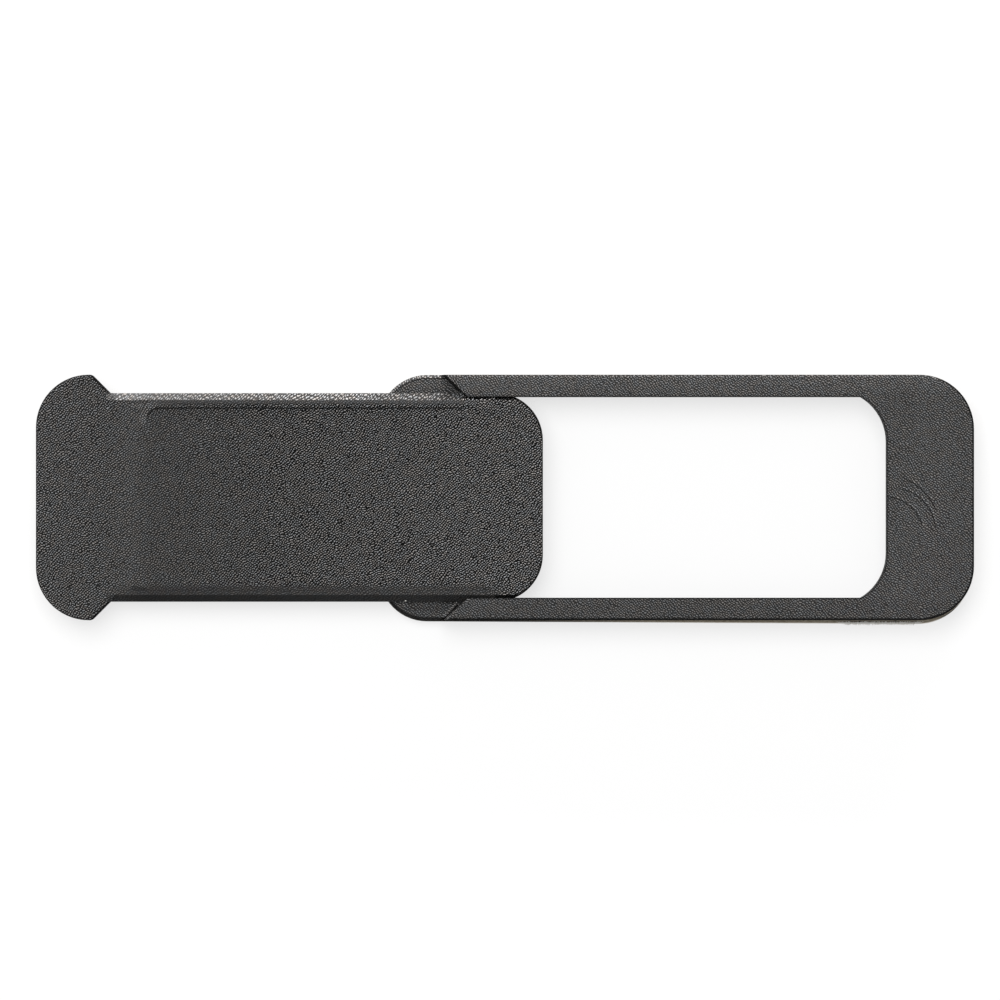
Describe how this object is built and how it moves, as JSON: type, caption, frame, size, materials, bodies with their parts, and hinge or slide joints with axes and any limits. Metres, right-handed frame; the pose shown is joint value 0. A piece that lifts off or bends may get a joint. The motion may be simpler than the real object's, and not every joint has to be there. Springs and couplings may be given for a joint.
{
  "type": "webcam cover slider",
  "caption": "Thin stick-on webcam cover: a frame with a lens window and undercut rails, and an eared shutter plate that slides along the rails to close the window.",
  "frame": {"origin": "middle of the lens window as it is left clear by the open shutter, on the underside of the release liner", "axes": "+X along the travel, towards closed; +Z out of the face, away from the screen; +Y across the travel"},
  "size_m": [0.0571, 0.0152, 0.002],
  "materials": {
    "frame_plastic": "fine spark-eroded grain, charcoal black",
    "slider_plastic": "fine spark-eroded grain, charcoal black, rubbed smooth along the long edges",
    "tape_film": "brown double-sided tape, dull cut edge",
    "liner_paper": "cream release paper"
  },
  "bodies": {
    "base": {"base_frame": "frame_plastic", "adhesive_tape": "tape_film", "release_liner": "liner_paper"},
    "slider": {"slider": "slider_plastic"}
  },
  "joints": [
    {"name": "slider_travel", "type": "slide", "parent": "base", "child": "slider", "axis": [1, 0, 0], "range_m": [0, 0.0208]}
  ]
}
